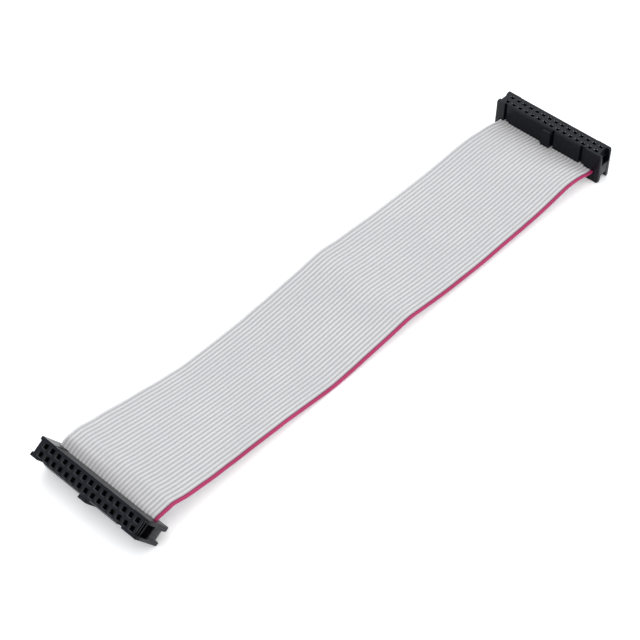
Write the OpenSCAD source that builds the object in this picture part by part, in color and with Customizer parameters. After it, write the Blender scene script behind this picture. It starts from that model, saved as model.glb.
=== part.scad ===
// Flat ribbon cable: 30 strands with a two-row, 30-way crimped socket on each end.
// Millimetres. +Z is up, the floor is z = 0, the cable runs along Y and the rows of
// pin openings run along X. The red edge strand is on the +X side.
// The near socket (-Y) lies tipped back on one lower edge, the far one (+Y) stands upright.

/* [Cable] */
// Number of strands, two for each pair of pin openings
strands = 30; // [30]
// Distance between neighbouring strands
strand_pitch = 1.27; // [1.0:0.01:1.27]
// Outside diameter of one strand, which is also the thickness of the ribbon
strand_d = 0.90; // [0.80:0.01:0.92]
// Diameter of the copper core in a strand
core_d = 0.38; // [0.30:0.01:0.45]
// Distance between the face centres of the two sockets, measured along the floor
face_span = 200.85; // [150:0.05:260]
// Angle by which the near socket is tipped back, in degrees
near_tilt = 34.4; // [34.4]

/* [Socket] */
// Pin openings in one row
ways = 15; // [15]
// Distance between neighbouring pin openings and between the two rows
pin_pitch = 2.54; // [2.54]
// Height of a socket from its lower face to its mating face
socket_h = 11.2; // [11:0.1:12]
// Depth of a socket across the rows, over the ear panels
socket_d = 6.1; // [6.0:0.05:6.4]
// Width of one square pin opening
pin_hole = 1.20; // [0.9:0.05:1.2]
// Width of the square lead-in of a pin opening at the mating face
lead_in = 1.75; // [1.3:0.05:1.8]
// Depth of the lead-in
lead_depth = 0.45; // [0.2:0.05:0.5]
// Width of the polarising key
key_w = 3.5; // [3.0:0.1:4.0]
// How far the key stands out from the key side
key_out = 1.0; // [0.6:0.1:1.2]
// Distance from the mating face down to the top of the key
key_top = 1.0; // [0.5:0.1:2]
// Thickness of the face plate where it overhangs the end channels
plate_t = 0.9; // [0.7:0.1:1.2]
// Half the width of the open channel at each end
channel = 1.95; // [1.8:0.05:2.0]

/* [Contacts] */
// Thickness of the sheet that the contacts are cut from
sheet = 0.30; // [0.25:0.05:0.35]
// Width of the slot that grips a copper core
core_slot = 0.26; // [0.22:0.01:0.30]
// Gap between the two beams at the point where they grip a pin
pin_gap = 0.40; // [0.3:0.05:0.5]

/* [Hidden] */

hd = socket_d / 2;                  // outer faces of the ear panels
cover_y = hd - 0.05;                // long faces of the cover
ribbon_z = -7.55;                   // middle of the ribbon, below the mating face
body_low = ribbon_z + 0.47;         // underside of the body's block, on the ribbon
cover_top = ribbon_z - 0.47;        // upper face of the cover, under the ribbon
block_x = 19.15;                    // ends of the body's block and of the cover's bar
tip_x = 21.0;                       // ends of the side walls
leg_x = 19.3;                       // inner ends of the legs, clear of the ribbon
leg_low = -11.15;                   // tips of the legs
recess_y = 2.55;                    // floors of the recesses in the key side
foot_y = 1.5;                       // inner faces of the legs below the channel
sill_z = -4.6;                      // lower edge of the open channel
key_reach = (hd + key_out) * cos(near_tilt) - key_top * sin(near_tilt);
near_y = -(face_span + hd - key_reach) / 2;
far_y = near_y + face_span;
near_z = cover_y * sin(near_tilt) + socket_h * cos(near_tilt);
first_x = -(strands - 1) * strand_pitch / 2;
ribbon_w = (strands - 1) * strand_pitch + strand_d;

// Where the middle of the ribbon leaves the near socket, measured from its face centre
exit_y = hd * cos(near_tilt) - ribbon_z * sin(near_tilt);
exit_z = near_z + hd * sin(near_tilt) + ribbon_z * cos(near_tilt);
cut_y = -hd * cos(near_tilt) - ribbon_z * sin(near_tilt);
cut_z = near_z - hd * sin(near_tilt) + ribbon_z * cos(near_tilt);
slot_z = socket_h + ribbon_z;
level_y = 196.6;                    // from here on the ribbon lies straight, under the key and into the socket

// The lie of the ribbon between the sockets. Each row is the distance along the floor
// from the near face centre, the sideways shift of the middle, the height of the -X
// edge and the height of the +X edge.
LIE = [
  [exit_y, 0, exit_z, exit_z],
  [9, 0, 7.9, 6.9], [11, 0, 8.1, 7.1], [13, 0, 8.2, 7.3], [15, -0.1, 7.7, 6.7], [18, -0.1, 7.0, 5.9],
  [22, -0.2, 6.3, 5.2], [24, -0.2, 5.9, 5.0], [28, -0.2, 5.0, 4.5], [33, -0.3, 4.0, 4.1], [38, -0.4, 3.0, 3.6],
  [42, -0.4, 2.2, 3.5], [47, -0.5, 1.4, 3.1], [52, -0.5, 0.7, 2.8], [57, -0.6, 0.5, 2.4], [62, -0.6, 0.5, 1.9],
  [67, -0.6, 0.6, 1.4], [72, -0.6, 0.8, 0.9], [77, -0.6, 1.0, 0.6], [82, -0.6, 1.6, 0.8], [87, -0.6, 2.0, 1.2],
  [92, -0.6, 2.6, 1.7], [97, -0.6, 3.2, 2.1], [102, -0.6, 3.8, 2.6], [106, -0.6, 4.5, 3.1], [110, -0.6, 5.0, 3.4],
  [114, -0.6, 4.8, 3.0], [118, -0.6, 4.3, 2.6], [125, -0.6, 4.1, 2.0], [133, -0.6, 3.8, 1.7], [144, -0.6, 3.8, 1.5],
  [153, -0.6, 3.9, 1.9], [163, -0.6, 4.2, 2.2], [172, -0.6, 4.9, 2.7], [178, -0.5, 5.4, 3.6], [182, -0.4, 5.5, 4.4],
  [186, -0.3, 5.2, 5.0], [190, -0.2, 4.9, 4.9], [193.5, -0.1, 4.4, 4.4],
  [level_y, 0, slot_z, slot_z]];
N = len(LIE);

// Slope of column c at row i: set by the sockets at both ends, by the neighbours between
function slope(i, c) =
  i == 0 ? (c == 1 ? 0 : tan(near_tilt)) :
  i == N - 1 ? 0 :
  (LIE[i + 1][c] - LIE[i - 1][c]) / (LIE[i + 1][0] - LIE[i - 1][0]);
function span(y, i = 0) = (i >= N - 2 || y < LIE[i + 1][0]) ? i : span(y, i + 1);
function bend(a, b, ma, mb, h, t) =
  a * (2*t*t*t - 3*t*t + 1) + ma * h * (t*t*t - 2*t*t + t) + b * (3*t*t - 2*t*t*t) + mb * h * (t*t*t - t*t);
function col(y, c) =
  let (i = span(y), h = LIE[i + 1][0] - LIE[i][0], t = (y - LIE[i][0]) / h)
  bend(LIE[i][c], LIE[i + 1][c], slope(i, c), slope(i + 1, c), h, t);
// Middle of the ribbon at distance y and across position x, straight inside the sockets
function along(y, c) =
  y <= exit_y ? (c == 1 ? 0 : cut_z + (y - cut_y) * tan(near_tilt)) :
  y >= level_y ? (c == 1 ? 0 : slot_z) : col(y, c);
function mid(y, x) =
  let (l = along(y, 2), r = along(y, 3))
  [along(y, 1) + x, near_y + y, (l + r) / 2 + (r - l) / 2 * x / 19.05];
// Upward direction square to the ribbon
function rise(y, x) =
  let (a = mid(y - 0.05, x), b = mid(y + 0.05, x), d = b - a, n = norm([d[1], d[2]]))
  y <= exit_y ? [0, -sin(near_tilt), cos(near_tilt)] :
  y >= level_y ? [0, 0, 1] : [0, -d[2] / n, d[1] / n];

far_cut = face_span + hd;
CLOSE = concat([cut_y, exit_y], [for (y = [8 : 1 : 20]) y], [for (y = [23 : 3 : 194]) y], [195.4, level_y, far_cut]);
WIDE = concat([cut_y, exit_y], [for (y = [8 : 2 : 20]) y], [for (y = [29 : 9 : 182]) y], [188, 193, level_y, far_cut]);

// A skin over rings of m points each, closed with a flat cap on both ends
module skin(rings) {
  m = len(rings[0]);
  n = len(rings);
  pts = [for (r = rings) each r];
  sides = [for (i = [0 : n - 2]) for (j = [0 : m - 1])
    each [[i*m + j, (i+1)*m + (j+1) % m, i*m + (j+1) % m], [i*m + j, (i+1)*m + j, (i+1)*m + (j+1) % m]]];
  polyhedron(pts, concat(sides, [[for (j = [0 : m - 1]) j]], [[for (j = [m - 1 : -1 : 0]) (n-1)*m + j]]), convexity = 6);
}

module at_near() translate([0, near_y, near_z]) rotate([near_tilt, 0, 0]) children();
module at_far() translate([0, far_y, socket_h]) children();
module block(a, b) translate(a) cube(b - a);
// A polygon in X and Z, given its thickness from y = a to y = b
module slab(a, b, pts) translate([0, b, 0]) rotate([90, 0, 0]) linear_extrude(b - a) polygon(pts);

// Side wall at the +X, -Y corner, from x = inner to its rounded tip, with the leg below it
module ear(inner) {
  intersection() {
    translate([0, 0, leg_low]) linear_extrude(-leg_low)
      polygon([[inner, -2.4], [inner, -hd], [20.5, -hd], [20.85, -hd + 0.15], [tip_x, -hd + 0.45], [tip_x, -channel],
               [block_x - 0.1, -channel], [block_x - 0.1, -2.4]]);
    slab(-hd - 1, 0, [[inner - 1, body_low], [leg_x, body_low], [leg_x, leg_low], [tip_x - 0.35, leg_low],
                      [tip_x - 0.05, leg_low + 0.3], [tip_x, -2.8], [tip_x - 0.06, -1.6], [tip_x - 0.25, -0.65],
                      [tip_x - 0.55, 0], [inner - 1, 0]]);
  }
  // the leg is broader below the channel and narrows again at its foot
  translate([leg_x, 0, 0]) rotate([90, 0, 90]) linear_extrude(tip_x - 0.05 - leg_x)
    polygon([[-channel - 0.1, sill_z], [-foot_y, sill_z], [-foot_y, -9.9], [-channel, leg_low], [-channel - 0.1, leg_low]]);
}

// Square lead-in and well of one pin opening, with the room for its contact below
module well(s) {
  a = lead_in / 2;
  b = pin_hole / 2;
  translate([0, 0, -lead_depth]) polyhedron(
    [[-b,-b,0],[b,-b,0],[b,b,0],[-b,b,0],[-a-0.05,-a-0.05,lead_depth+0.05],[a+0.05,-a-0.05,lead_depth+0.05],
     [a+0.05,a+0.05,lead_depth+0.05],[-a-0.05,a+0.05,lead_depth+0.05]],
    [[0,1,2,3],[4,5,1,0],[5,6,2,1],[6,7,3,2],[7,4,0,3],[7,6,5,4]]);
  block([-b, -b, -5.3], [b, b, -lead_depth + 0.01]);
  block([-0.86, -0.2, body_low - 1], [0.86, 0.2, -2.0]);
  block([s > 0 ? 0 : -1.18, -0.2, body_low - 1], [s > 0 ? 1.18 : 0, 0.2, -5.4]);
}

module socket_body() difference() {
  union() {
    block([-block_x, -recess_y, body_low], [block_x, recess_y, 0]);
    // face plate, which overhangs both end channels, further at the -X end
    block([-19.9, -recess_y, -0.4], [19.4, recess_y, 0]);
    // sloping strip between the face and the panel of the key side
    translate([-15.4, 0, 0]) rotate([90, 0, 90]) linear_extrude(28.27)
      polygon([[-recess_y, 0], [-hd + 0.1, -plate_t + 0.1], [-hd + 0.1, -plate_t - 0.1], [0, -plate_t - 0.1], [0, 0]]);
    // raised panel of the key side, with one clipped corner
    slab(-hd, -2.3, [[-15.4, body_low], [12.87, body_low], [12.87, -plate_t], [-14.6, -plate_t],
                     [-15.15, -plate_t - 0.2], [-15.4, -plate_t - 0.7]]);
    // plain side
    block([-15.6, 2.3, body_low], [15.6, 2.9, 0]);
    ear(15.07);
    mirror([1, 0, 0]) ear(17.6);
    mirror([0, 1, 0]) { ear(15.5); mirror([1, 0, 0]) ear(15.5); }
    // polarising key
    slab(-hd - key_out, -2.3, [[-key_w/2, body_low], [key_w/2, body_low], [key_w/2, -key_top - 0.7],
      [key_w/2 - 0.2, -key_top - 0.2], [key_w/2 - 0.7, -key_top], [-key_w/2 + 0.7, -key_top],
      [-key_w/2 + 0.2, -key_top - 0.2], [-key_w/2, -key_top - 0.7]]);
    // two thin ribs across each end channel, under the plate
    for (s = [-1, 1], r = [[19.6, -1.2], [19.8, -2.4]]) scale([s, 1, 1]) block([18.7, -2.2, r[1]], [r[0], 2.2, r[1] + 0.35]);
  }
  for (i = [0 : ways - 1]) for (s = [-1, 1])
    translate([(i - (ways - 1) / 2) * pin_pitch, s * pin_pitch / 2, 0]) well(s);
  // recesses between the ribs
  for (s = [-1, 1], z = [[-0.85, -0.4], [-2.05, -1.2], [-4.6, -2.4]]) scale([s, 1, 1])
    block([18.9, -channel, z[0]], [19.6, channel, z[1]]);
  // deep slots in the key side: beside the -X ear, the key and the panel
  for (x = [-17.6, 1.75, 12.87]) block([x, -hd - 0.5, body_low - 1], [x + 0.85, -2.1, -0.25]);
  // notch in each end for the hook of the latch arm
  for (s = [-1, 1]) scale([s, 1, 1]) block([18.82, -foot_y, -5.75], [19.25, foot_y, -4.9]);
}

// Latch arm at the +X end of the cover, with its hook turned inward
module arm() slab(-foot_y + 0.05, foot_y - 0.05, [[18.9, -socket_h], [19.6, -socket_h], [20.0, -10.4], [20.5, -9.3],
  [20.88, -8.5], [20.88, -5.1], [20.75, -4.6], [18.95, -4.95], [18.87, -5.1], [18.87, -5.55], [19.2, -5.75],
  [19.2, cover_top - 0.2], [18.9, cover_top - 0.2]]);

module socket_cover() difference() {
  union() {
    slab(-cover_y, cover_y, [[-block_x, -socket_h], [block_x, -socket_h], [block_x, cover_top], [-block_x, cover_top]]);
    arm();
    mirror([1, 0, 0]) arm();
  }
  // pocket for the forked foot of each contact
  for (i = [0 : ways - 1]) for (s = [-1, 1])
    translate([(i - (ways - 1) / 2) * pin_pitch + s * strand_pitch / 2, s * pin_pitch / 2, 0])
      block([-0.55, -0.2, -9.5], [0.55, 0.2, cover_top + 1]);
  // two shallow flutes along the underside
  for (s = [-1, 1]) block([-17, s * 1.5 - 0.4, -socket_h - 1], [17, s * 1.5 + 0.4, -socket_h + 0.4]);
}

// One contact cut from sheet: two beams that grip a pin above, a forked foot that grips
// a core below. The foot stands half a strand pitch to the side.
module contact(s) {
  g = pin_gap / 2;
  c = core_slot / 2;
  f = strand_pitch / 2;
  scale([s, 1, 1]) slab(-sheet / 2, sheet / 2, [
    [-0.8, -7.0], [-0.8, -3.2], [-0.66, -2.3], [-0.44, -2.3], [-g, -3.2], [-0.32, -4.0], [-0.32, -5.5],
    [0.32, -5.5], [0.32, -4.0], [g, -3.2], [0.44, -2.3], [0.66, -2.3], [0.8, -3.2], [0.8, -5.6],
    [f + 0.48, -5.6], [f + 0.48, -8.9], [f + 0.38, -9.3], [f + c, -8.7], [f + c, -6.8],
    [f - c, -6.8], [f - c, -8.7], [f - 0.38, -9.3], [f - 0.48, -8.9], [f - 0.48, -7.0]]);
}
module contact_row(s) for (i = [0 : ways - 1])
  translate([(i - (ways - 1) / 2) * pin_pitch, s * pin_pitch / 2, 0]) contact(s);

module near_socket_body() color([0.16, 0.17, 0.20]) at_near() socket_body();
module near_socket_cover() color([0.20, 0.21, 0.24]) at_near() socket_cover();
module near_contacts_key_row() color([0.85, 0.72, 0.40]) at_near() contact_row(-1);
module near_contacts_plain_row() color([0.85, 0.72, 0.40]) at_near() contact_row(1);
module far_socket_body() color([0.16, 0.17, 0.20]) at_far() socket_body();
module far_socket_cover() color([0.20, 0.21, 0.24]) at_far() socket_cover();
module far_contacts_key_row() color([0.85, 0.72, 0.40]) at_far() contact_row(-1);
module far_contacts_plain_row() color([0.85, 0.72, 0.40]) at_far() contact_row(1);

// The jacket: a flat strip with rounded edges, laid along the route
module ribbon_jacket() color([0.80, 0.81, 0.84]) {
  e = ribbon_w / 2 - strand_d / 2;
  r = strand_d / 2;
  skin([for (y = CLOSE) [for (k = [0 : 11])
    let (a = (k < 6 ? 90 - 36 * k : 90 - 36 * (k - 1)), q = r * sin(a), x = (k < 6 ? e : -e) + r * cos(a))
    mid(y, x) + q * rise(y, x)]]);
}

// The cores: one square-edged bar a strand, inside the jacket over its whole length
module copper_conductors() color([0.72, 0.43, 0.25])
  for (k = [0 : strands - 1]) let (x = first_x + k * strand_pitch, r = core_d / 2)
    skin([for (y = WIDE) let (c = mid(y, x), u = rise(y, x))
      [c + r * u, c + [r, 0, 0], c - r * u, c - [r, 0, 0]]]);

near_socket_body();
near_socket_cover();
near_contacts_key_row();
near_contacts_plain_row();
far_socket_body();
far_socket_cover();
far_contacts_key_row();
far_contacts_plain_row();
ribbon_jacket();
copper_conductors();
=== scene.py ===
import math
import bmesh
import bpy
from mathutils import Matrix, Vector


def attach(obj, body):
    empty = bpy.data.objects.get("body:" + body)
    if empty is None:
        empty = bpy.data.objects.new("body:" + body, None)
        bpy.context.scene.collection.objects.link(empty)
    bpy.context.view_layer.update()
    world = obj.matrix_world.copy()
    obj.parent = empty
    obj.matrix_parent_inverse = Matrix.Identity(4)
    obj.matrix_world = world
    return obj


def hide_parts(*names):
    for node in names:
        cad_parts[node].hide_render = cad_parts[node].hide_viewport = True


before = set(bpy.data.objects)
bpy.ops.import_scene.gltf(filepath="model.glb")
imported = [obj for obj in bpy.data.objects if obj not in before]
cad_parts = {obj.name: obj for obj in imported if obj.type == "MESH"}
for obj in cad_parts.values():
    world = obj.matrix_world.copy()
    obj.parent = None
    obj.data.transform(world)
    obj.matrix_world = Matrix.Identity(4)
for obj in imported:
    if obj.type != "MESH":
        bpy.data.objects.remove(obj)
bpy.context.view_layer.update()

scene = bpy.context.scene
MM = 0.001

# ------------------------------------------------------------------ camera
TILT = math.radians(34.4)
HALF_D = 3.05
SOCKET_H = 11.2
RIBBON_Z = -7.55
KEY_REACH = (HALF_D + 1.0) * math.cos(TILT) - 1.0 * math.sin(TILT)
NEAR_Y = -(200.85 + HALF_D - KEY_REACH) / 2
FAR_Y = NEAR_Y + 200.85
NEAR_Z = (HALF_D - 0.05) * math.sin(TILT) + SOCKET_H * math.cos(TILT)

cam_data = bpy.data.cameras.new("camera")
cam = bpy.data.objects.new("camera", cam_data)
scene.collection.objects.link(cam)
right = Vector((0.73608, 0.67682, 0.01008)).normalized()
fwd = Vector((-0.45887, 0.50989, -0.72764)).normalized()
right = (right - fwd * right.dot(fwd)).normalized()
up = right.cross(fwd)
place = Vector((228.79, -164.32 + NEAR_Y, 367.65)) * MM
cam.matrix_world = Matrix((
    (right.x, up.x, -fwd.x, place.x),
    (right.y, up.y, -fwd.y, place.y),
    (right.z, up.z, -fwd.z, place.z),
    (0, 0, 0, 1)))
cam_data.sensor_width = 36.0
cam_data.sensor_fit = "HORIZONTAL"
cam_data.lens = 1713.1 / 640 * 36.0
cam_data.clip_start = 0.01
cam_data.clip_end = 20
scene.camera = cam

# ------------------------------------------------------------------ the ribbon's route
STRANDS = 30
PITCH = 1.27
R = 0.45
EXIT_Y = HALF_D * math.cos(TILT) - RIBBON_Z * math.sin(TILT)
EXIT_Z = NEAR_Z + HALF_D * math.sin(TILT) + RIBBON_Z * math.cos(TILT)
CUT_Y = -HALF_D * math.cos(TILT) - RIBBON_Z * math.sin(TILT)
CUT_Z = NEAR_Z - HALF_D * math.sin(TILT) + RIBBON_Z * math.cos(TILT)
SLOT_Z = SOCKET_H + RIBBON_Z
LEVEL_Y = 196.6
FAR_CUT = 200.85 + HALF_D
LIE = [
    (EXIT_Y, 0, EXIT_Z, EXIT_Z),
    (9, 0, 7.9, 6.9), (11, 0, 8.1, 7.1), (13, 0, 8.2, 7.3), (15, -0.1, 7.7, 6.7), (18, -0.1, 7.0, 5.9),
    (22, -0.2, 6.3, 5.2), (24, -0.2, 5.9, 5.0), (28, -0.2, 5.0, 4.5), (33, -0.3, 4.0, 4.1), (38, -0.4, 3.0, 3.6),
    (42, -0.4, 2.2, 3.5), (47, -0.5, 1.4, 3.1), (52, -0.5, 0.7, 2.8), (57, -0.6, 0.5, 2.4), (62, -0.6, 0.5, 1.9),
    (67, -0.6, 0.6, 1.4), (72, -0.6, 0.8, 0.9), (77, -0.6, 1.0, 0.6), (82, -0.6, 1.6, 0.8), (87, -0.6, 2.0, 1.2),
    (92, -0.6, 2.6, 1.7), (97, -0.6, 3.2, 2.1), (102, -0.6, 3.8, 2.6), (106, -0.6, 4.5, 3.1), (110, -0.6, 5.0, 3.4),
    (114, -0.6, 4.8, 3.0), (118, -0.6, 4.3, 2.6), (125, -0.6, 4.1, 2.0), (133, -0.6, 3.8, 1.7), (144, -0.6, 3.8, 1.5),
    (153, -0.6, 3.9, 1.9), (163, -0.6, 4.2, 2.2), (172, -0.6, 4.9, 2.7), (178, -0.5, 5.4, 3.6), (182, -0.4, 5.5, 4.4),
    (186, -0.3, 5.2, 5.0), (190, -0.2, 4.9, 4.9), (193.5, -0.1, 4.4, 4.4),
    (LEVEL_Y, 0, SLOT_Z, SLOT_Z)]


def slope(i, c):
    if i == 0:
        return 0.0 if c == 1 else math.tan(TILT)
    if i == len(LIE) - 1:
        return 0.0
    return (LIE[i + 1][c] - LIE[i - 1][c]) / (LIE[i + 1][0] - LIE[i - 1][0])


def along(y, c):
    if y <= EXIT_Y:
        return 0.0 if c == 1 else CUT_Z + (y - CUT_Y) * math.tan(TILT)
    if y >= LEVEL_Y:
        return 0.0 if c == 1 else SLOT_Z
    i = max(k for k in range(len(LIE) - 1) if LIE[k][0] <= y)
    h = LIE[i + 1][0] - LIE[i][0]
    t = (y - LIE[i][0]) / h
    a, b, ma, mb = LIE[i][c], LIE[i + 1][c], slope(i, c), slope(i + 1, c)
    return (a * (2 * t**3 - 3 * t**2 + 1) + ma * h * (t**3 - 2 * t**2 + t)
            + b * (3 * t**2 - 2 * t**3) + mb * h * (t**3 - t**2))


def mid(y, x):
    """Middle of the ribbon's thickness at distance y and across position x, in mm, row frame."""
    lo, hi = along(y, 2), along(y, 3)
    return Vector((along(y, 1) + x, NEAR_Y + y, (lo + hi) / 2 + (hi - lo) / 2 * x / 19.05))


def rise(y, x):
    if y <= EXIT_Y:
        return Vector((0, -math.sin(TILT), math.cos(TILT)))
    if y >= LEVEL_Y:
        return Vector((0, 0, 1))
    d = mid(y + 0.05, x) - mid(y - 0.05, x)
    n = math.hypot(d.y, d.z)
    return Vector((0, -d.z / n, d.y / n))


def stations():
    ys = [CUT_Y + (EXIT_Y - CUT_Y) * k / 4 for k in range(4)] + [EXIT_Y]
    y = EXIT_Y + 0.7
    while y < 20:
        ys.append(y)
        y += 0.7
    y = 20.5
    while y < LEVEL_Y - 0.8:
        ys.append(y)
        y += 1.6
    ys += [LEVEL_Y, 198.4, 200.2, 202.0, FAR_CUT]
    return ys


YS = stations()


def strand_x(k):
    return (k - (STRANDS - 1) / 2) * PITCH


WEB = 0.17         # half the thickness of the web between two strands
ARC_L = [158, 146, 133, 119, 105, 90]
ARC_R = [75, 61, 47, 34, 22]


def half_profile(k, left_edge, right_edge):
    """Top half of strand k's outline from left to right: (x, height) pairs round the strand and its webs."""
    x0 = strand_x(k)
    pts = []
    if left_edge:
        arc = [180, 162, 144, 126, 108, 90]
    else:
        pts.append((x0 - PITCH / 2, WEB))
        arc = ARC_L
    arc2 = ARC_R if not right_edge else [72, 54, 36, 18, 0]
    for a in arc + arc2:
        pts.append((x0 + R * math.cos(math.radians(a)), R * math.sin(math.radians(a))))
    return pts


def profile(first, last):
    """Closed outline of strands first..last. Inner seams end on the middle of a web."""
    top = []
    for k in range(first, last + 1):
        top += half_profile(k, k == 0, k == STRANDS - 1)
    if last < STRANDS - 1:
        top.append((strand_x(last) + PITCH / 2, WEB))
    bottom = [(x, -h) for x, h in reversed(top)]
    out = list(top)
    for p in bottom:
        if abs(p[1]) > 1e-9 or (p not in out):
            out.append(p)
    # drop doubled edge points, where height is 0 on both halves
    clean = []
    for p in out:
        if not any(abs(p[0] - q[0]) < 1e-6 and abs(p[1] - q[1]) < 1e-6 for q in clean):
            clean.append(p)
    return clean


def sweep(name, prof, ys, end_in=0.02):
    """A mesh along the route. Both cuts stand back a hair, so that the copper ends show."""
    bm = bmesh.new()
    n = len(prof)
    rings = []
    for j, y in enumerate(ys):
        yy = y + (end_in if j == 0 else -end_in if j == len(ys) - 1 else 0)
        ring = []
        for x, h in prof:
            ring.append(bm.verts.new((mid(yy, x) + rise(yy, x) * h) * MM))
        rings.append(ring)
    for a, b in zip(rings, rings[1:]):
        for i in range(n):
            bm.faces.new((a[i], a[(i + 1) % n], b[(i + 1) % n], b[i]))
    bm.normal_update()
    caps = []
    caps.append(bm.faces.new(rings[0][::-1]))
    caps.append(bm.faces.new(rings[-1]))
    bmesh.ops.recalc_face_normals(bm, faces=bm.faces)
    for f in bm.faces:
        f.smooth = True
    for f in caps:
        f.smooth = False
    bmesh.ops.triangulate(bm, faces=caps)
    # across: 0 on the -X edge, 1 on the +X edge; run: metres along the route
    across = bm.loops.layers.uv.new("lie")
    run = [0.0]
    for p, q in zip(ys, ys[1:]):
        run.append(run[-1] + (mid(q, 0) - mid(p, 0)).length * MM)
    where = {}
    for r, ring in zip(run, rings):
        for v in ring:
            where[v] = r
    for f in bm.faces:
        for lp in f.loops:
            lp[across].uv = (lp.vert.co.x / MM / 38.1 + 0.5, where[lp.vert] * 10)
    me = bpy.data.meshes.new(name)
    bm.to_mesh(me)
    bm.free()
    # mask for painted shade in the grooves: 1 on a strand's round, falling to 0 on the web, where the jacket takes a
    # darker colour as painted shade
    painted_web_shade_mask = me.attributes.new("painted_web_shade_mask", "FLOAT", "POINT")
    high = [min(1.0, max(0.0, (abs(h) - WEB) / 0.16)) if abs(x) < 18.8 else 1.0 for x, h in prof]
    for i, d in enumerate(painted_web_shade_mask.data):
        d.value = high[i % n]
    ob = bpy.data.objects.new(name, me)
    scene.collection.objects.link(ob)
    return ob


ribbon = sweep("grey_strands", profile(0, STRANDS - 2), YS)
red = sweep("red_strand", profile(STRANDS - 1, STRANDS - 1), YS)

# ------------------------------------------------------------------ copper ends
def copper_ends():
    """Seven fine wires show at each cut end of every core."""
    bm = bmesh.new()
    wires = [(0, 0)] + [(0.127 * math.cos(math.radians(60 * a)), 0.127 * math.sin(math.radians(60 * a))) for a in range(6)]
    for y, sign in ((CUT_Y, 1), (FAR_CUT, -1)):
        d = Vector((0, math.cos(TILT), math.sin(TILT))) if sign > 0 else Vector((0, 1, 0))
        u = rise(y, 0)
        for k in range(STRANDS):
            turn = math.radians(17 * k % 60)
            c = mid(y, strand_x(k))
            for wx, wz in wires:
                qx = wx * math.cos(turn) - wz * math.sin(turn)
                qz = wx * math.sin(turn) + wz * math.cos(turn)
                p = c + Vector((qx, 0, 0)) + u * qz
                rings = []
                for depth, rad in ((0.30, 0.062), (0.0, 0.062), (-0.02, 0.045)):
                    rings.append([bm.verts.new((p + d * (sign * depth) + Vector((rad * math.cos(t), 0, 0)) + u * (rad * math.sin(t))) * MM)
                                  for t in (math.radians(45 * s) for s in range(8))])
                for a, b in zip(rings, rings[1:]):
                    for i in range(8):
                        bm.faces.new((a[i], a[(i + 1) % 8], b[(i + 1) % 8], b[i]))
                bm.faces.new(rings[0][::-1])
                bm.faces.new(rings[-1])
    bmesh.ops.recalc_face_normals(bm, faces=bm.faces)
    me = bpy.data.meshes.new("cut_wires")
    bm.to_mesh(me)
    bm.free()
    ob = bpy.data.objects.new("cut_wires", me)
    scene.collection.objects.link(ob)
    return ob


wires = copper_ends()

# ------------------------------------------------------------------ sockets, with moulded edges
def moulded(node, name, width, segments=2, sharp=28):
    """The node's own shape with every moulded edge slightly rounded."""
    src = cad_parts[node]
    me = src.data.copy()
    me.name = name
    ob = bpy.data.objects.new(name, me)
    scene.collection.objects.link(ob)
    me.materials.clear()
    bm = bmesh.new()
    bm.from_mesh(me)
    bmesh.ops.remove_doubles(bm, verts=bm.verts, dist=2e-6)
    bmesh.ops.dissolve_limit(bm, angle_limit=math.radians(1.0), verts=bm.verts, edges=bm.edges)
    edges = [e for e in bm.edges if len(e.link_faces) == 2 and e.calc_face_angle(0) > math.radians(sharp)]
    bmesh.ops.bevel(bm, geom=edges, offset=width * MM, offset_type="OFFSET", segments=segments, profile=0.5,
                    affect="EDGES", clamp_overlap=True, miter_outer="SHARP")
    bmesh.ops.recalc_face_normals(bm, faces=bm.faces)
    bmesh.ops.triangulate(bm, faces=[f for f in bm.faces if len(f.verts) > 4])
    # the slopes of the pin openings are smoother and glossier than the rest, and darker as painted shade in the
    # openings: second material
    tilt, face = (TILT, Vector((0, NEAR_Y, NEAR_Z))) if node.startswith("near") else (0.0, Vector((0, FAR_Y, SOCKET_H)))
    axis = Vector((0, -math.sin(tilt), math.cos(tilt)))
    side = Vector((0, math.cos(tilt), math.sin(tilt)))
    for f in bm.faces:
        f.smooth = True
        f.normal_update()
        c = f.calc_center_median() / MM - face
        if 0.25 < f.normal.dot(axis) < 0.8 and -0.6 < c.dot(axis) and abs(c.x) < 18.8 and abs(c.dot(side)) < 2.3:
            f.material_index = 1
    bm.to_mesh(me)
    bm.free()
    m = ob.modifiers.new("normals", "WEIGHTED_NORMAL")
    m.keep_sharp = True
    m.weight = 100
    return ob


pieces = {}
for end in ("near", "far"):
    pieces[end + "_body"] = moulded(end + "_socket_body", end + "_moulded_body", 0.07)
    pieces[end + "_cover"] = moulded(end + "_socket_cover", end + "_moulded_cover", 0.07)

# ------------------------------------------------------------------ materials
def srgb(r, g, b):
    return tuple(((c / 255) / 12.92 if c / 255 <= 0.04045 else ((c / 255 + 0.055) / 1.055) ** 2.4) for c in (r, g, b)) + (1.0,)


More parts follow.
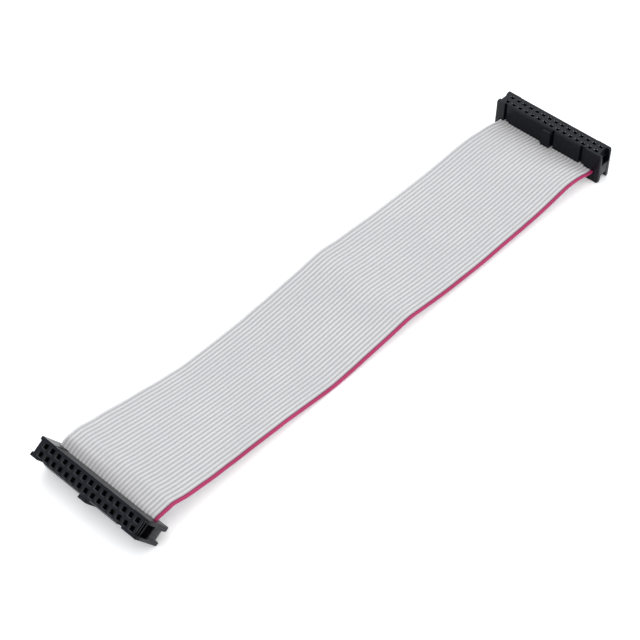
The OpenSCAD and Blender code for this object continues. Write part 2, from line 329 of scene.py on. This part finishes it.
class Nodes:
    def __init__(self, name):
        self.mat = bpy.data.materials.new(name)
        self.mat.use_nodes = True
        self.t = self.mat.node_tree
        self.t.nodes.clear()
        self.out = self.t.nodes.new("ShaderNodeOutputMaterial")
        self.b = self.t.nodes.new("ShaderNodeBsdfPrincipled")
        self.link(self.b.outputs[0], self.out.inputs[0])

    def link(self, a, b):
        self.t.links.new(a, b)

    def new(self, kind, **values):
        n = self.t.nodes.new("ShaderNode" + kind)
        for k, v in values.items():
            if hasattr(n, k) and not isinstance(v, bpy.types.NodeSocket):
                setattr(n, k, v)
        return n

    def noise(self, scale, detail=4.0, rough=0.55, stretch=(1, 1, 1)):
        co = self.new("TexCoord")
        mp = self.new("Mapping")
        mp.inputs["Scale"].default_value = stretch
        self.link(co.outputs["Object"], mp.inputs["Vector"])
        n = self.new("TexNoise")
        n.inputs["Scale"].default_value = scale
        n.inputs["Detail"].default_value = detail
        n.inputs["Roughness"].default_value = rough
        self.link(mp.outputs[0], n.inputs["Vector"])
        return n.outputs["Fac"]

    def ramp(self, fac, stops):
        r = self.new("ValToRGB")
        els = r.color_ramp.elements
        els[0].position, els[0].color = stops[0]
        els[1].position, els[1].color = stops[-1]
        for p, c in stops[1:-1]:
            e = els.new(p)
            e.color = c
        self.link(fac, r.inputs[0])
        return r.outputs[0]

    def remap(self, fac, lo, hi):
        m = self.new("MapRange")
        m.inputs["From Min"].default_value = 0.3
        m.inputs["From Max"].default_value = 0.7
        m.inputs["To Min"].default_value = lo
        m.inputs["To Max"].default_value = hi
        self.link(fac, m.inputs["Value"])
        return m.outputs[0]

    def bump(self, height, strength, distance, normal=None):
        b = self.new("Bump")
        b.inputs["Strength"].default_value = strength
        b.inputs["Distance"].default_value = distance
        self.link(height, b.inputs["Height"])
        if normal is not None:
            self.link(normal, b.inputs["Normal"])
        return b.outputs[0]

    def mix(self, fac, a, b, mode="MIX"):
        m = self.new("Mix")
        m.data_type = "RGBA"
        m.blend_type = mode
        for s, v in ((m.inputs[0], fac), (m.inputs[6], a), (m.inputs[7], b)):
            if isinstance(v, bpy.types.NodeSocket):
                self.link(v, s)
            else:
                s.default_value = v
        return m.outputs[2]

    def set(self, **kw):
        for k, v in kw.items():
            s = self.b.inputs[k.replace("_", " ")]
            if isinstance(v, bpy.types.NodeSocket):
                self.link(v, s)
            else:
                s.default_value = v


def jacket_material(name, light, dark, painted_web_shade):
    n = Nodes(name)
    broad = n.noise(60, 3)
    fine = n.noise(2600, 3, 0.6)
    streak = n.noise(900, 2, 0.5, (1, 0.02, 1))
    col = n.ramp(n.remap(broad, 0.0, 1.0), [(0.0, dark), (1.0, light)])
    col = n.mix(n.remap(streak, 0.0, 0.2), col, tuple(c * 0.88 for c in light[:3]) + (1.0,))
    # painted shade: the web between two strands is thin, and is coloured darker than the round insulation where the
    # groove's shade falls
    at = n.new("Attribute")
    at.attribute_type = "GEOMETRY"
    at.attribute_name = "painted_web_shade_mask"
    col = n.mix(at.outputs["Fac"], painted_web_shade, col)
    n.set(Base_Color=col, Roughness=n.remap(fine, 0.44, 0.55))
    n.b.inputs["IOR"].default_value = 1.5
    n.b.inputs["Specular IOR Level"].default_value = 0.3
    n.b.inputs["Subsurface Weight"].default_value = 0.06
    n.b.inputs["Subsurface Scale"].default_value = 0.0004
    n.b.inputs["Subsurface Radius"].default_value = (1.0, 0.9, 0.85)
    n.set(Normal=n.bump(fine, 0.12, 0.00002, n.bump(streak, 0.2, 0.00003)))
    return n.mat


def socket_material(name, base, light, rough=0.24, level=0.16):
    n = Nodes(name)
    fine = n.noise(5200, 3, 0.65)
    flow = n.noise(420, 4, 0.6, (1, 1, 2.2))
    wide = n.noise(38, 2, 0.5)
    col = n.mix(n.remap(flow, 0.0, 1.0), base, light)
    col = n.mix(n.remap(wide, 0.0, 0.5), col, light)
    n.set(Base_Color=col, Roughness=n.remap(flow, rough, rough + 0.1))
    n.b.inputs["IOR"].default_value = 1.5
    n.b.inputs["Specular IOR Level"].default_value = level
    n.set(Normal=n.bump(fine, 0.3, 0.00002))
    return n.mat


def metal_material(name, a, b, rough):
    n = Nodes(name)
    f = n.noise(3000, 3)
    n.set(Base_Color=n.mix(n.remap(f, 0, 1), a, b), Roughness=n.remap(f, rough, rough + 0.12))
    n.b.inputs["Metallic"].default_value = 1.0
    n.set(Normal=n.bump(f, 0.15, 0.00001))
    return n.mat


# the third colour of each jacket is painted shade, laid on the webs between the strands
GREY = jacket_material("jacket_grey", srgb(203, 202, 202), srgb(195, 194, 195), srgb(174, 173, 175))
RED = jacket_material("jacket_red", srgb(170, 42, 94), srgb(156, 35, 83), srgb(128, 29, 69))
BLACK = socket_material("socket_black", srgb(10, 11, 16), srgb(17, 18, 25), 0.26, 0.135)
# the lead-in slopes are the same plastic as the body, given a darker base colour as painted shade in the pin openings
LEAD_IN_SHADED = socket_material("lead_in_painted_shade", srgb(8, 9, 14), srgb(14, 15, 22), 0.22, 0.42)
COVER = socket_material("cover_black", srgb(13, 13, 18), srgb(22, 22, 28), 0.26, 0.11)
GOLD = metal_material("contact_metal", srgb(196, 190, 174), srgb(172, 166, 150), 0.3)
COPPER = metal_material("copper", srgb(205, 132, 94), srgb(180, 108, 74), 0.25)


def dress(ob, mat, second=None):
    index = [p.material_index for p in ob.data.polygons]
    ob.data.materials.clear()
    ob.data.materials.append(mat)
    if second:
        ob.data.materials.append(second)
        ob.data.polygons.foreach_set("material_index", index)


dress(ribbon, GREY)
dress(red, RED)
dress(wires, COPPER)
dress(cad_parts["copper_conductors"], COPPER)
for end in ("near", "far"):
    dress(pieces[end + "_body"], BLACK, LEAD_IN_SHADED)
    dress(pieces[end + "_cover"], COVER)
    for row in ("key", "plain"):
        dress(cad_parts[end + "_contacts_" + row + "_row"], GOLD)

# ------------------------------------------------------------------ what rides, and which CAD parts are hidden
for ob in [ribbon, red, wires] + list(pieces.values()):
    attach(ob, "root")
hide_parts("ribbon_jacket")
for end in ("near", "far"):
    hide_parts(end + "_socket_body")
    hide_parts(end + "_socket_cover")

# ------------------------------------------------------------------ floor and light
bm = bmesh.new()
bmesh.ops.create_grid(bm, x_segments=1, y_segments=1, size=3.0)
me = bpy.data.meshes.new("floor")
bm.to_mesh(me)
bm.free()
floor = bpy.data.objects.new("floor", me)
floor.location = (0, 0, -0.00002)
scene.collection.objects.link(floor)
n = Nodes("floor")
n.set(Base_Color=n.ramp(n.noise(3, 2), [(0.0, srgb(246, 246, 246)), (1.0, srgb(250, 250, 250))]))
n.b.inputs["Roughness"].default_value = 0.75
n.b.inputs["Emission Color"].default_value = (1.0, 1.0, 1.0, 1.0)
n.b.inputs["Emission Strength"].default_value = 0.22
n.b.inputs["Specular IOR Level"].default_value = 0.2
floor.data.materials.append(n.mat)

world = bpy.data.worlds.new("studio")
world.use_nodes = True
scene.world = world
scene.view_settings.view_transform = "Standard"
bg = world.node_tree.nodes["Background"]
bg.inputs[0].default_value = (1.0, 1.0, 1.0, 1.0)
bg.inputs[1].default_value = 0.62


def lamp(name, at, to, size, power, tint=(1, 1, 1)):
    d = bpy.data.lights.new(name, "AREA")
    d.shape = "RECTANGLE"
    d.size, d.size_y = size
    d.energy = power
    d.color = tint
    o = bpy.data.objects.new(name, d)
    scene.collection.objects.link(o)
    o.location = at
    o.rotation_euler = (Vector(to) - Vector(at)).to_track_quat("-Z", "Y").to_euler()
    return o


lamp("top", (-0.1, 0.0, 1.2), (0, 0, 0), (1.4, 1.4), 8.9)
lamp("side", (1.0, -0.1, 0.55), (0, 0, 0), (0.9, 0.9), 2.3)
lamp("back", (-0.72, 0.76, 1.0), (0, 0.05, 0), (0.9, 0.9), 4.8, (0.84, 0.93, 1.0))
lamp("glint", (-0.42, -0.78, 0.35), (0, 0.1, 0.01), (0.2, 0.2), 2.2, (0.8, 0.9, 1.0))
lamp("rim", (0.85, 0.62, 0.26), (0, 0.1, 0.01), (0.25, 0.25), 2.6, (0.8, 0.9, 1.0))
